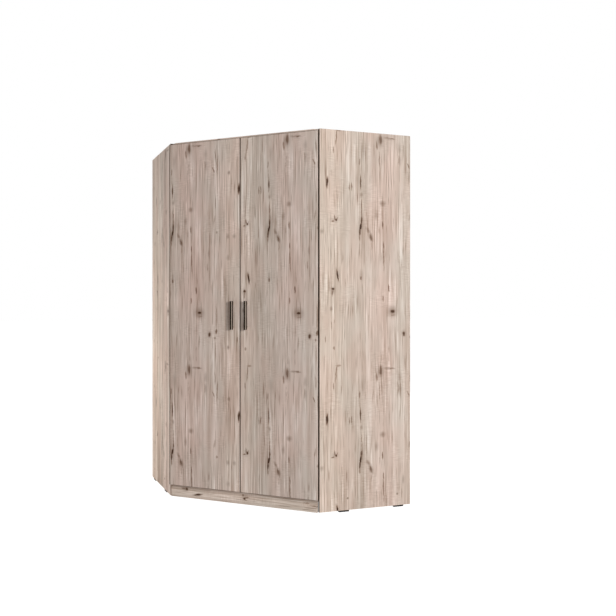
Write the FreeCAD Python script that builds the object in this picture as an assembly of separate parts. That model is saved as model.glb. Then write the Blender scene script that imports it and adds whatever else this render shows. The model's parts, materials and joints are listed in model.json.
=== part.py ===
import FreeCAD, Part
import math
import os

from FreeCAD import Vector

# A two-door wardrobe for a room corner, in millimetres. +Z is up and the floor is z = 0.
# The walls are the planes x = wall and y = wall, so the room's corner is at +X +Y.
# The doors stand across the corner and face -X -Y. Along the doors runs u, to the right for someone
# who faces them, and v runs inwards, at right angles to u. The left half mirrors the right half.

# Overall sizes
wall_width = 1170.0
height = 1990.0
side_depth = 530.0

# Boards, clearances and cuts
board = 16.0
edge_round = 0.8
fit = 0.05
cut_over = 1.0

# Doors, which lie over the carcass front
door_thickness = 16.0
door_gap = 2.0
door_inset = 5.0
door_low = 74.0
door_top_gap = 10.0
middle_gap = 4.0
bumper_radius = 2.5
bumper_thickness = 1.7
bumper_inset = 30.0
bumper_drop = 3.0

# Plinth and bottom panel
bottom_low = 62.0
plinth_high = 70.0
plinth_recess = 10.0
plinth_end_gap = 11.0

# Floor glides under the side panels and the rear foot
glide_height = 8.0
glide_length = 57.0
glide_width = 13.0
glide_shares = (0.264, 0.868)
glide_stub_radius = 2.5
glide_stub = 12.0
foot_glide_radius = 16.0

# Back sheets, their joint strips and their nails
sheet = 3.0
back_setback = 2.0
rebate_depth = 8.0
sheet_fit = 0.5
strip_wall = 0.8
strip_width = 14.0
strip_fit = 0.1
nail_radius = 0.8
nail_head_radius = 2.2
nail_head = 0.8
nail_length = 18.0
edge_nail_shares = (0.10, 0.38, 0.62, 0.88)
post_nail_shares = (0.05, 0.35, 0.65, 0.95)

# Post in the room's corner
post = 40.0

# Hat shelf and its pins
shelf_drop = 350.0
shelf_fit = 1.0
shelf_back_gap = 2.0
shelf_setback = 60.0
shelf_pin_shares = (0.264, 0.830)
shelf_pin_radius = 2.5
shelf_pin_peg = 8.0
shelf_pin_ledge = 10.0
shelf_pin_width = 8.0
shelf_pin_height = 5.0

# Hanging rail under the shelf
rail_radius = 12.5
rail_wall = 1.5
rail_length = 1100.0
rail_setback = 300.0
rail_drop = 70.0
rail_cap_rim = 1.0
rail_cap_thickness = 3.0
rail_cap_plug = 12.0
hanger_end_gap = 60.0
hanger_width = 14.0
hanger_plate = 2.0
hanger_plate_length = 56.0
hanger_ring_wall = 3.5
hanger_stem = 6.0
hanger_screw_place = 20.0

# Screws that hold metal fittings to boards
screw_radius = 1.9
screw_length = 12.0
screw_head_radius = 3.6
screw_head = 1.8
arm_screw_length = 8.0

# Through-screws of the bottom panel, with caps over their heads
bottom_screw_shares = (0.302, 0.851)
bottom_screw_radius = 3.4
bottom_screw_length = 48.0
bottom_screw_head_radius = 4.8
bottom_screw_head = 3.0
cap_radius = 6.0
cap_thickness = 1.2

# Cam fittings of the top panel, and dowels
cam_shares = (0.2075, 0.811)
cam_radius = 7.5
cam_depth = 12.5
cam_fit = 0.1
cam_reach = 34.0
bolt_radius = 3.0
bolt_peg = 11.0
bolt_head_radius = 3.6
bolt_head = 3.0
bolt_bore_radius = 4.0
dowel_shares = (0.132, 0.472, 0.943)
dowel_radius = 4.0
dowel_in_side = 11.0
dowel_in_panel = 20.0
post_dowel_reach = 20.0
post_dowel_in_top = 10.0

# Hinges: a cup let into the door, a pin in the cup, and a bent arm on a plate on the side panel
hinge_count = 4
hinge_margin = 110.0
cup_inset = 22.5
cup_radius = 17.5
cup_depth = 11.5
cup_fit = 0.1
cup_wall = 1.4
flange_rim = 1.5
flange_thickness = 1.2
flange_width = 24.0
flange_length = 60.0
cup_screw_place = 24.0
pin_inset = 12.0
pin_depth = 10.0
pin_radius = 2.0
eye_radius = 3.5
arm_thickness = 2.5
arm_width = 12.0
arm_knee = 26.5
arm_offset = 8.0
arm_overhang = 4.0
plate_start = 22.0
plate_length = 40.0
plate_base = 2.0
plate_width = 44.0
plate_screw_place = 15.0
arm_screw_share = 0.6
relief_gap = 0.8

# Bar handles
handle_inset = 40.0
handle_drop = 3.0
handle_length = 154.0
handle_width = 13.0
handle_reach = 28.0
handle_bar = 13.0
handle_round = 2.0
handle_leg = 11.0
handle_leg_width = 8.0
handle_leg_inset = 7.5
handle_screw_radius = 1.95
handle_screw_depth = 9.0
handle_screw_head_radius = 4.0
handle_screw_head = 2.4

# Angles: under the bottom panel behind the plinth, and under the top panel against the walls
angle_leg = 30.0
angle_width = 26.0
angle_thickness = 2.0
plinth_angle_share = 0.442
wall_angle_share = 0.2263
wall_angle_drop = 40.0
wall_hole_radius = 3.0
wall_hole_drop = 26.0
sheet_hole_radius = 5.0

# Planes and lines that follow from the sizes above
root2 = math.sqrt(2)
door_proud = door_gap + door_thickness
door_corner = (door_proud - door_inset) / root2
wall = (wall_width + door_corner) / 2
outer = wall - wall_width
inner = outer + board
front_end = wall - side_depth
front_plane = (front_end + outer) / root2
front_half = (front_end - outer) / root2
back_line = wall - back_setback - sheet
bottom_high = bottom_low + board
top_low = height - board
door_edge = front_half - door_inset
door_face = front_plane - door_proud
door_back = front_plane - door_gap
door_high = height - door_top_gap
plinth_face = door_face + plinth_recess
plinth_back = plinth_face + board
pin_u = door_edge - pin_inset
pin_v = door_face + pin_depth
cup_u = door_edge - cup_inset
handle_u = middle_gap / 2 + handle_inset
handle_centre = (door_low + door_high) / 2 - handle_drop
shelf_low = height - shelf_drop
rail_v = front_plane + rail_setback
rail_z = shelf_low - rail_drop
joint_line = (inner + back_line) / 2
hinge_step = (door_high - door_low - 2 * hinge_margin) / (hinge_count - 1)
hinge_heights = [door_low + hinge_margin + i * hinge_step for i in range(hinge_count)]

# Places of repeated fittings: from the side panels' front edge, and from the middle of the doors
glide_places = [share * side_depth for share in glide_shares]
shelf_pin_places = [share * side_depth for share in shelf_pin_shares]
bottom_screw_places = [share * side_depth for share in bottom_screw_shares]
cam_places = [share * side_depth for share in cam_shares]
dowel_places = [share * side_depth for share in dowel_shares]
plinth_angle_place = plinth_angle_share * front_half

# Directions
along_x = Vector(1, 0, 0)
along_y = Vector(0, 1, 0)
up = Vector(0, 0, 1)
centre = Vector(0, 0, 0)
across = Vector(1, -1, 0)
front_turn = -45.0


def box(x, y, z):
    """A block between a pair of limits along each axis."""
    return Part.makeBox(x[1] - x[0], y[1] - y[0], z[1] - z[0], Vector(x[0], y[0], z[0]))


def about(middle, width):
    """The pair of limits of a width that is centred on a middle."""
    return (middle - width / 2, middle + width / 2)


def rod(x, y, z, direction, radius, length):
    """A round bar that starts at a point."""
    return Part.makeCylinder(radius, length, Vector(x, y, z), direction)


def prism(outline, z):
    """An upright solid over an outline of points in plan."""
    points = [Vector(p[0], p[1], z[0]) for p in outline]
    face = Part.Face(Part.makePolygon(points + points[:1]))
    return face.extrude(up * (z[1] - z[0]))


def front(shape):
    """Turns a shape from the doors' own directions u and v to X and Y."""
    return shape.rotated(centre, up, front_turn)


def place(u, v):
    """The point in plan at u and v."""
    return Vector((u + v) / root2, (v - u) / root2, 0)


def mirrored(shape):
    """The left half's copy of a shape of the right half."""
    return shape.mirror(centre, across)


def both(solids):
    """Solids of the right half and their copies in the left half."""
    return solids + [mirrored(s) for s in solids]


def eased(shape, on_face):
    """A board with small rounds on the edges that lie on one of its faces."""
    edges = [e for e in shape.Edges if all(on_face(v.Point) for v in e.Vertexes)]
    return shape.makeFillet(edge_round, edges)


def near(a, b):
    """Whether two lengths are the same but for rounding."""
    return abs(a - b) < edge_round / 2


def headed(x, y, z, direction, radius, length, head_radius, head):
    """A screw or nail: its shank runs along direction from the seat, its head the other way."""
    shank = rod(x, y, z, direction, radius, length)
    return shank.fuse(rod(x, y, z, -direction, head_radius, head))


def fitting_screw(x, y, z, direction, length=screw_length):
    """One of the screws that hold metal fittings."""
    return headed(x, y, z, direction, screw_radius, length, screw_head_radius, screw_head)


def fitting_hole(x, y, z, direction, length=screw_length):
    """The hole for such a screw, from the fitting's outer face."""
    return rod(x, y, z, direction, screw_radius + fit, length + fit)


def five_corners(side, rear, front_v):
    """Outline of a panel between both sides, both backs and a line parallel to the doors."""
    reach = front_v * root2
    return [(side, rear), (rear, rear), (rear, side), (reach - side, side), (side, reach - side)]


# Fasteners of the carcass, right half


def bottom_screws():
    """Through-screws from the side panel's outer face into the bottom panel."""
    z = (bottom_low + bottom_high) / 2
    y = outer + bottom_screw_head
    return [headed(front_end + a, y, z, along_y, bottom_screw_radius, bottom_screw_length,
                   bottom_screw_head_radius, bottom_screw_head) for a in bottom_screw_places]


def bottom_screw_holes():
    """Clearance for those screws, with the recess for their heads."""
    z = (bottom_low + bottom_high) / 2
    y = outer + bottom_screw_head
    return [headed(front_end + a, y, z, along_y, bottom_screw_radius + fit, bottom_screw_length + fit,
                   bottom_screw_head_radius + fit, bottom_screw_head + cut_over) for a in bottom_screw_places]


def cover_caps():
    """Caps on the side panel's outer face over the heads."""
    z = (bottom_low + bottom_high) / 2
    return [rod(front_end + a, outer, z, -along_y, cap_radius, cap_thickness) for a in bottom_screw_places]


def cam_bolts(extra=0):
    """Bolts from the side panel into the top panel, or their clearance when made larger by extra."""
    z = top_low + board / 2
    bolts = []
    for a in cam_places:
        x = front_end + a
        shank = rod(x, inner - bolt_peg - extra, z, along_y, bolt_radius + extra, bolt_peg + cam_reach)
        head = rod(x, inner + cam_reach - bolt_head, z, along_y, bolt_head_radius + extra, bolt_head)
        bolts.append(shank.fuse(head))
    return bolts


def cam_bores():
    """Bores in the top panel for the cams, from below, and for the bolts, from the edge."""
    z = top_low + board / 2
    bores = []
    for a in cam_places:
        x = front_end + a
        bores.append(rod(x, inner + cam_reach, top_low - cut_over, up, cam_radius, cam_depth + cut_over))
        bores.append(rod(x, inner - cut_over, z, along_y, bolt_bore_radius, cam_reach + cut_over))
    return bores


def cam_locks():
    """Round cams, each slotted on the side where the bolt's head goes in."""
    z = top_low + board / 2
    locks = []
    for a in cam_places:
        x = front_end + a
        y = inner + cam_reach
        body = rod(x, y, top_low, up, cam_radius - cam_fit, cam_depth - cam_fit)
        opening = 2 * bolt_bore_radius
        slot = box(about(x, opening), (y - cam_radius, y + cam_fit), about(z, opening))
        locks.append(body.cut(slot))
    return locks


def side_dowels(extra=0):
    """Dowels between the side panel and the top and bottom panels, or their holes."""
    length = dowel_in_side + dowel_in_panel + 2 * extra
    y = inner - dowel_in_side - extra
    return [rod(front_end + a, y, low + board / 2, along_y, dowel_radius + extra, length)
            for low in (bottom_low, top_low) for a in dowel_places]


def post_dowels(extra=0):
    """Dowels that hold the corner post between the panels and the foot under it, or their holes."""
    middle = back_line - post / 2
    low = bottom_low - post_dowel_reach - extra
    through = board + 2 * (post_dowel_reach + extra)
    above = top_low - post_dowel_reach - extra
    into_top = post_dowel_reach + post_dowel_in_top + 2 * extra
    return [rod(middle, middle, low, up, dowel_radius + extra, through),
            rod(middle, middle, above, up, dowel_radius + extra, into_top)]


def sheet_nails(extra=0):
    """Nails through the right wall's back sheets into the panels' rear edges and the post, or their holes."""
    span = back_line - inner
    rise = top_low - bottom_high
    heights = (bottom_low + board / 2, top_low + board / 2)
    spots = [(inner + share * span, z) for z in heights for share in edge_nail_shares]
    spots += [(back_line - post / 2, bottom_high + share * rise) for share in post_nail_shares]
    x = back_line + sheet
    return [headed(x, y, z, -along_x, nail_radius + extra, nail_length + extra, nail_head_radius, nail_head)
            for y, z in spots]


# Hinges, right half


def plate_screws(maker):
    """Screws or holes of the hinge plates, by the function that makes one."""
    x = front_end + plate_start + plate_length / 2
    return [maker(x, inner + plate_base, z + side * plate_screw_place, -along_y)
            for z in hinge_heights for side in (-1, 1)]


def arm_screws(maker):
    """Screws or holes that hold the arms to their plates."""
    x = front_end + plate_start + arm_screw_share * plate_length
    y = inner + arm_offset + arm_thickness / 2
    return [maker(x, y, z, -along_y, arm_screw_length) for z in hinge_heights]


def hinge_plates():
    """A base on the side panel's inner face with a raised rib under the arm."""
    x = (front_end + plate_start, front_end + plate_start + plate_length)
    seat = inner + arm_offset - arm_thickness / 2
    plates = []
    for z in hinge_heights:
        base = box(x, (inner, inner + plate_base), about(z, plate_width))
        rib = box(x, (inner, seat), about(z, arm_width))
        holes = plate_screws(fitting_hole) + arm_screws(fitting_hole)
        plates.append(base.fuse(rib).removeSplitter().cut(holes))
    return plates


def arm_line():
    """Middle line of the bent arm in plan: from the pin out of the cup, then along the side panel."""
    knee_u = door_edge - arm_knee
    knee_v = knee_u + root2 * (inner + arm_offset)
    end = Vector(front_end + plate_start + plate_length + arm_overhang, inner + arm_offset, 0)
    return [place(pin_u, pin_v), place(knee_u, pin_v), place(knee_u, knee_v), end]


def strip_outline(points, thickness):
    """Outline of a strip of even thickness, mitred at the bends of its middle line."""
    spans = [(b - a).normalize() for a, b in zip(points, points[1:])]
    left = []
    right = []
    for i, point in enumerate(points):
        before = spans[max(i - 1, 0)]
        after = spans[min(i, len(spans) - 1)]
        normals = [Vector(-d.y, d.x, 0) for d in (before, after)]
        mitre = (normals[0] + normals[1]) / (1 + normals[0].dot(normals[1]))
        left.append(point + mitre * (thickness / 2))
        right.append(point - mitre * (thickness / 2))
    return left + right[::-1]


def hinge_arms():
    """Bent arms, each with an eye round the pin."""
    outline = strip_outline(arm_line(), arm_thickness)
    pin = place(pin_u, pin_v)
    arms = []
    for z in hinge_heights:
        low, high = about(z, arm_width)
        eye = rod(pin.x, pin.y, low, up, eye_radius, arm_width)
        bore = rod(pin.x, pin.y, low - cut_over, up, pin_radius + fit, arm_width + 2 * cut_over)
        arms.append(prism(outline, (low, high)).fuse(eye).cut([bore] + arm_screws(fitting_hole)))
    return arms


def pin_half():
    """Half the length of a hinge pin, which ends just inside the cup's outer face."""
    far_side = cup_inset - pin_inset + pin_radius
    return math.sqrt((cup_radius - cup_fit) ** 2 - far_side ** 2) - cup_fit


def hinge_pins(extra=0):
    """Pins across the cups, in the doors' own directions, or their holes."""
    half = pin_half() + extra
    return [rod(pin_u, pin_v, z - half, up, pin_radius + extra, 2 * half) for z in hinge_heights]


def cup_screws(maker):
    """Screws or holes of the cups' flanges."""
    return [maker(cup_u, door_back + flange_thickness, z + side * cup_screw_place, -along_y)
            for z in hinge_heights for side in (-1, 1)]


def hinge_cups():
    """Round cups with a flange on the door's back, open to the inside."""
    floor_v = door_back - cup_depth + cup_fit
    outside = cup_radius - cup_fit
    flange = (door_back, door_back + flange_thickness)
    cups = []
    for z in hinge_heights:
        cup = rod(cup_u, floor_v, z, along_y, outside, door_back - floor_v)
        rim = rod(cup_u, door_back, z, along_y, outside + flange_rim, flange_thickness)
        ears = box(about(cup_u, flange_width), flange, about(z, flange_length))
        hollow = rod(cup_u, floor_v + cup_wall, z, along_y, outside - cup_wall, cup_depth + flange_thickness)
        body = cup.fuse([rim, ears]).removeSplitter()
        cups.append(body.cut([hollow] + hinge_pins(fit) + cup_screws(fitting_hole)))
    return cups


def cup_bores():
    """Bores in the door for the cups."""
    return [rod(cup_u, door_back - cup_depth, z, along_y, cup_radius, cup_depth + cut_over)
            for z in hinge_heights]


# Doors, right half, in their own directions


def handle_screw_heights():
    """Heights of the two legs' middles."""
    reach = (handle_length - handle_leg) / 2 - handle_leg_inset
    return (handle_centre - reach, handle_centre + reach)


def handle_screws(extra=0):
    """Screws from the door's back into the handle's legs, or their holes."""
    length = door_thickness + handle_screw_depth + extra
    return [headed(handle_u, door_back, z, -along_y, handle_screw_radius + extra, length,
                   handle_screw_head_radius, handle_screw_head) for z in handle_screw_heights()]


def handle():
    """A bar handle: a bar with rounded front edges, held off the door by two slimmer legs."""
    front_face = door_face - handle_reach
    bar_back = front_face + handle_bar
    bar = box(about(handle_u, handle_width), (front_face, bar_back), about(handle_centre, handle_length))
    rims = [e for e in bar.Edges if all(near(v.Y, front_face) for v in e.Vertexes)]
    bar = bar.makeFillet(handle_round, rims)
    legs = [box(about(handle_u, handle_leg_width), (bar_back, door_face), about(z, handle_leg))
            for z in handle_screw_heights()]
    return bar.fuse(legs).cut(handle_screws(fit))


def door():
    """The right door, eased on its front edges, with bores for hinges and handle."""
    board_box = box((middle_gap / 2, door_edge), (door_face, door_back), (door_low, door_high))
    panel = eased(board_box, lambda p: near(p.y, door_face))
    return panel.cut(cup_bores() + cup_screws(fitting_hole) + handle_screws(fit))


def door_bumper():
    """A soft dot on the door's back that meets the top panel's front edge."""
    return rod(middle_gap / 2 + bumper_inset, door_back, door_high - bumper_drop, along_y,
               bumper_radius, bumper_thickness)


# Boards of the carcass


def right_side_panel():
    """Full-height board with a rebate along its rear edge for the back sheet."""
    panel = box((front_end, wall), (outer, inner), (glide_height, height))
    panel = eased(panel, lambda p: near(p.y, outer))
    rebate = box((back_line, wall + cut_over), (inner - rebate_depth, inner + cut_over),
                 (glide_height - cut_over, height + cut_over))
    holes = bottom_screw_holes() + cam_bolts(fit) + side_dowels(fit) + plate_screws(fitting_hole)
    return panel.cut([rebate] + holes + shelf_pegs(fit) + glide_stubs(fit))


def top_panel():
    """Five-cornered top, cut back in an arc where the doors' hinge edges turn."""
    panel = prism(five_corners(inner, back_line, front_plane), (top_low, height))
    turn = math.hypot(pin_inset, max(pin_depth, door_thickness - pin_depth)) + relief_gap
    pin = place(pin_u, pin_v)
    relief = rod(pin.x, pin.y, top_low - cut_over, up, turn, board + 2 * cut_over)
    holes = [relief] + cam_bores() + side_dowels(fit) + sheet_nails(fit) + wall_angle_screws(fitting_hole)
    return panel.cut(both(holes) + post_dowels(fit))


def bottom_panel():
    """Five-cornered bottom behind the plinth."""
    panel = prism(five_corners(inner, back_line, plinth_back), (bottom_low, bottom_high))
    holes = both(bottom_screw_holes() + side_dowels(fit) + sheet_nails(fit))
    return panel.cut(holes + post_dowels(fit) + plinth_angle_screws(fitting_hole))


def plinth_board():
    """Toe board under the doors, set back from their faces."""
    half = front_half - plinth_end_gap
    panel = box((-half, half), (plinth_face, plinth_back), (glide_height, plinth_high))
    panel = front(eased(panel, lambda p: near(p.y, plinth_face)))
    return panel.cut(plinth_angle_screws(fitting_hole))


def rear_corner_post():
    """Batten in the room's corner between bottom and top."""
    side = (back_line - post, back_line)
    panel = box(side, side, (bottom_high, top_low))
    return panel.cut(both(sheet_nails(fit) + [post_peg(fit)]) + post_dowels(fit))


def rear_foot_block():
    """Block that carries the bottom panel's rear corner."""
    side = (back_line - post, back_line)
    stub = rear_glide_stub(fit)
    return box(side, side, (glide_height, bottom_low)).cut(post_dowels(fit) + [stub])


def hat_shelf():
    """Five-cornered shelf, notched round the corner post."""
    panel = prism(five_corners(inner + shelf_fit, back_line - shelf_back_gap, front_plane + shelf_setback),
                  (shelf_low, shelf_low + board))
    side = (back_line - post - shelf_fit, back_line + cut_over)
    notch = box(side, side, (shelf_low - cut_over, shelf_low + board + cut_over))
    return panel.cut([notch] + hanger_screws(fitting_hole))


# Back, right wall


def back_sheets():
    """The wall's two back sheets, from the side panel's rebate to the room's corner."""
    x = (back_line, back_line + sheet)
    z = (bottom_low, height)
    gap = strip_wall / 2 + strip_fit
    hole = rod(back_line - cut_over, wall_angle_y(), wall_hole_z(), along_x,
               sheet_hole_radius, sheet + 2 * cut_over)
    sides = ((inner - rebate_depth + sheet_fit, joint_line - gap), (joint_line + gap, back_line))
    return [box(x, y, z).cut(sheet_nails(fit) + [hole]) for y in sides]


def back_joint_strip():
    """H-shaped strip that holds the two sheets' edges."""
    z = (bottom_high, top_low)
    front_lip = (back_line - strip_fit - strip_wall, back_line - strip_fit)
    rear_lip = (back_line + sheet + strip_fit, back_line + sheet + strip_fit + strip_wall)
    web = box((front_lip[0], rear_lip[1]), about(joint_line, strip_wall), z)
    lips = [box(x, about(joint_line, strip_width), z) for x in (front_lip, rear_lip)]
    return web.fuse(lips).removeSplitter()


# Shelf pins and rail


def shelf_pegs(extra=0):
    """Pegs of the shelf pins in the side panel, or their holes."""
    z = shelf_low - shelf_pin_height / 2
    return [rod(front_end + a, inner, z, -along_y, shelf_pin_radius + extra, shelf_pin_peg + extra)
            for a in shelf_pin_places]


def post_peg(extra=0):
    """Peg of the shelf pin on the post's face, or its hole."""
    z = shelf_low - shelf_pin_height / 2
    return rod(back_line - post, back_line - post / 2, z, along_x,
               shelf_pin_radius + extra, shelf_pin_peg + extra)


def shelf_pins():
    """Pins with a flat ledge under the shelf: on the side panel and on the post."""
    z = (shelf_low - shelf_pin_height, shelf_low)
    reach = (inner, inner + shelf_pin_ledge)
    ledges = [box(about(front_end + a, shelf_pin_width), reach, z) for a in shelf_pin_places]
    face = back_line - post
    ledges.append(box((face - shelf_pin_ledge, face), about(back_line - post / 2, shelf_pin_width), z))
    return [ledge.fuse(peg) for ledge, peg in zip(ledges, shelf_pegs() + [post_peg()])]


def hanger_places():
    """Places of the three rail hangers along the rail."""
    reach = rail_length / 2 - hanger_end_gap
    return (-reach, 0, reach)


def hanger_screws(maker):
    """Screws or holes of the rail hangers."""
    spots = [place(u, rail_v + side * hanger_screw_place) for u in hanger_places() for side in (-1, 1)]
    return [maker(p.x, p.y, shelf_low - hanger_plate, up) for p in spots]


def hanging_rail():
    """Round tube parallel to the doors."""
    tube = rod(-rail_length / 2, rail_v, rail_z, along_x, rail_radius, rail_length)
    bore = rod(-rail_length / 2 - cut_over, rail_v, rail_z, along_x, rail_radius - rail_wall,
               rail_length + 2 * cut_over)
    return front(tube.cut(bore))


def rail_end_caps():
    """Caps with a plug in each end of the rail."""
    plug_radius = rail_radius - rail_wall - fit
    caps = []
    for way in (-1, 1):
        start = way * rail_length / 2
        disc = rod(start, rail_v, rail_z, along_x * way, rail_radius + rail_cap_rim, rail_cap_thickness)
        plug = rod(start, rail_v, rail_z, -along_x * way, plug_radius, rail_cap_plug)
        caps.append(front(disc.fuse(plug)))
    return caps


def rail_hangers():
    """Rings on stems under the shelf, each with a screwed plate."""
    hangers = []
    ring_radius = rail_radius + fit + hanger_ring_wall
    for u in hanger_places():
        start = u - hanger_width / 2
        ring = rod(start, rail_v, rail_z, along_x, ring_radius, hanger_width)
        hole = rod(start - cut_over, rail_v, rail_z, along_x, rail_radius + fit, hanger_width + 2 * cut_over)
        stem = box(about(u, hanger_width), about(rail_v, hanger_stem), (rail_z + rail_radius, shelf_low))
        plate = box(about(u, hanger_width), about(rail_v, hanger_plate_length),
                    (shelf_low - hanger_plate, shelf_low))
        body = front(ring.fuse([stem, plate]).removeSplitter().cut(hole))
        hangers.append(body.cut(hanger_screws(fitting_hole)))
    return hangers


# Glides


def glide_stubs(extra=0):
    """Stubs of the glides in the side panel's lower edge, or their holes."""
    middle = (outer + inner) / 2
    return [rod(front_end + a, middle, glide_height, up, glide_stub_radius + extra, glide_stub + extra)
            for a in glide_places]


def rear_glide_stub(extra=0):
    """Stub of the rear foot's glide, beside the post's dowel, or its hole."""
    middle = back_line - post / 2
    return rod(middle, middle, glide_height, up, glide_stub_radius + extra, glide_stub + extra)


def floor_glides():
    """Low pads under both side panels."""
    middle = (outer + inner) / 2
    pads = [box(about(front_end + a, glide_length), about(middle, glide_width), (0, glide_height))
            for a in glide_places]
    return both([pad.fuse(stub) for pad, stub in zip(pads, glide_stubs())])


def rear_foot_glide():
    """Round pad under the rear foot."""
    middle = back_line - post / 2
    return rod(middle, middle, 0, up, foot_glide_radius, glide_height).fuse(rear_glide_stub())


# Angles


def plinth_angle_screws(maker):
    """Screws or holes of the plinth's angles: one into the plinth, one into the bottom panel."""
    screws = []
    for u in (-plinth_angle_place, plinth_angle_place):
        back = place(u, plinth_back + angle_thickness)
        under = place(u, plinth_back + angle_leg / 2)
        screws.append(maker(back.x, back.y, bottom_low - angle_leg / 2, -place(0, 1)))
        screws.append(maker(under.x, under.y, bottom_low - angle_thickness, up))
    return screws


def plinth_brackets():
    """Angles between the plinth's back and the bottom panel's underside."""
    brackets = []
    for u in (-plinth_angle_place, plinth_angle_place):
        width = about(u, angle_width)
        upright = box(width, (plinth_back, plinth_back + angle_thickness),
                      (bottom_low - angle_leg, bottom_low))
        flat = box(width, (plinth_back, plinth_back + angle_leg),
                   (bottom_low - angle_thickness, bottom_low))
        body = front(upright.fuse(flat).removeSplitter())
        brackets.append(body.cut(plinth_angle_screws(fitting_hole)))
    return brackets


def wall_angle_y():
    """Where the right wall's angle sits along the wall."""
    return inner + wall_angle_share * (back_line - inner)


def wall_hole_z():
    """Height of the hole for the wall's own screw."""
    return top_low - wall_hole_drop


def wall_angle_screws(maker):
    """The screw, or its hole, that holds the wall angle under the top panel."""
    return [maker(back_line - angle_leg / 2, wall_angle_y(), top_low - angle_thickness, up)]


def wall_bracket():
    """Angle under the top panel with a hole towards the right wall."""
    width = about(wall_angle_y(), angle_width)
    upright = box((back_line - angle_thickness, back_line), width, (top_low - wall_angle_drop, top_low))
    flat = box((back_line - angle_leg, back_line), width, (top_low - angle_thickness, top_low))
    hole = rod(back_line - angle_thickness - cut_over, wall_angle_y(), wall_hole_z(), along_x,
               wall_hole_radius, angle_thickness + 2 * cut_over)
    return upright.fuse(flat).removeSplitter().cut([hole] + wall_angle_screws(fitting_hole))


def pieces():
    """Every piece of the wardrobe by name, each a solid or a list of like solids."""
    side = right_side_panel()
    outer_sheet, inner_sheet = back_sheets()
    strip = back_joint_strip()
    right_door = {"door": door(), "hinge_cups": hinge_cups(), "hinge_pins": hinge_pins(),
                  "cup_screws": cup_screws(fitting_screw), "handle": handle(),
                  "handle_screws": handle_screws(), "door_bumper": door_bumper()}
    nodes = {
        "right_side_panel": side,
        "left_side_panel": mirrored(side),
        "top_panel": top_panel(),
        "bottom_panel": bottom_panel(),
        "plinth_board": plinth_board(),
        "plinth_brackets": plinth_brackets(),
        "rear_corner_post": rear_corner_post(),
        "rear_foot_block": rear_foot_block(),
        "rear_foot_glide": rear_foot_glide(),
        "right_back_sheet_outer": outer_sheet,
        "right_back_sheet_inner": inner_sheet,
        "left_back_sheet_outer": mirrored(outer_sheet),
        "left_back_sheet_inner": mirrored(inner_sheet),
        "right_back_joint_strip": strip,
        "left_back_joint_strip": mirrored(strip),
        "back_sheet_nails": both(sheet_nails()),
        "hat_shelf": hat_shelf(),
        "shelf_pins": both(shelf_pins()),
        "hanging_rail": hanging_rail(),
        "rail_end_caps": rail_end_caps(),
        "rail_hangers": rail_hangers(),
        "rail_hanger_screws": hanger_screws(fitting_screw),
        "floor_glides": floor_glides(),
        "bottom_screws": both(bottom_screws()),
        "cover_caps": both(cover_caps()),
        "cam_bolts": both(cam_bolts()),
        "cam_locks": both(cam_locks()),
        "wood_dowels": both(side_dowels()) + post_dowels(),
        "right_hinge_plates": hinge_plates(),
        "left_hinge_plates": [mirrored(s) for s in hinge_plates()],
        "right_hinge_arms": hinge_arms(),
        "left_hinge_arms": [mirrored(s) for s in hinge_arms()],
        "hinge_plate_screws": both(plate_screws(fitting_screw)),
        "hinge_arm_screws": both(arm_screws(fitting_screw)),
        "wall_brackets": both([wall_bracket()]),
        "bracket_screws": plinth_angle_screws(fitting_screw) + both(wall_angle_screws(fitting_screw)),
    }
    for name, made in right_door.items():
        solids = [front(s) for s in (made if isinstance(made, list) else [made])]
        nodes["right_" + name] = solids
        nodes["left_" + name] = [mirrored(s) for s in solids]
    return nodes


def main():
    """Writes one file for each piece and prints the doors' hinge axes."""
    os.makedirs("parts", exist_ok=True)
    for name, made in pieces().items():
        shape = Part.makeCompound(made) if isinstance(made, list) else made
        shape.exportStep("parts/" + name + ".step")
        state = "valid" if shape.isValid() else "INVALID"
        print(name, len(shape.Solids), "solids", round(shape.Volume), "mm3", state)
    pin = place(pin_u, pin_v)
    print("right hinge axis", round(pin.x, 3), round(pin.y, 3))
    print("left hinge axis", round(pin.y, 3), round(pin.x, 3))


main()
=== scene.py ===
# %% [markdown]
# This is a tall two-door wardrobe for the corner of a bedroom, in pale printed oak. The packed CAD part
# gives every board, hinge and screw its place, so nothing has to be fitted by eye. What is left for
# Blender is the look: an oak print built from nodes, metal and plastic finishes, finer handles, and the
# small fasteners, which Geometry Nodes set on the places that the CAD solids already hold.

# %% Load the frame
import json
import math

import bmesh
import bpy
import numpy as np
from mathutils import Matrix, Vector


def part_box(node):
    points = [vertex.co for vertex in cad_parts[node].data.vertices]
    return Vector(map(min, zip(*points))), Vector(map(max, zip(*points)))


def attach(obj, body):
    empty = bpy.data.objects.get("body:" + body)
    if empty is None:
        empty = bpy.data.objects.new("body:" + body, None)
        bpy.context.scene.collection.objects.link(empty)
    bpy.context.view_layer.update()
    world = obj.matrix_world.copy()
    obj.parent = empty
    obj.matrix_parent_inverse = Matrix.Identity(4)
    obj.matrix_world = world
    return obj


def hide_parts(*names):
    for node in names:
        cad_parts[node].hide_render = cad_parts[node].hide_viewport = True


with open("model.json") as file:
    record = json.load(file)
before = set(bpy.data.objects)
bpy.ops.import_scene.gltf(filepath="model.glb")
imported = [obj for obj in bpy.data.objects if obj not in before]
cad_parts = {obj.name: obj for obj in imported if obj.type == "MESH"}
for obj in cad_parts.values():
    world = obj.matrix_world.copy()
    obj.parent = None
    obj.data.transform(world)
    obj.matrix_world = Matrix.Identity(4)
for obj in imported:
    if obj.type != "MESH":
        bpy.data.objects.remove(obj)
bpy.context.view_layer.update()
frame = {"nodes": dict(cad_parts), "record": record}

scene = bpy.context.scene
nodes = frame["nodes"]

# %% [markdown]
# The picture is taken from about the handles' height, with the camera held level, so the upright edges
# stay upright. The wardrobe stands left of the picture's middle, yet its edges run together as if the
# lens had looked straight at it, so a small sideways shift frames it. Fitting the long edges of boards
# and doors gave the place and the focal length.

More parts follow.
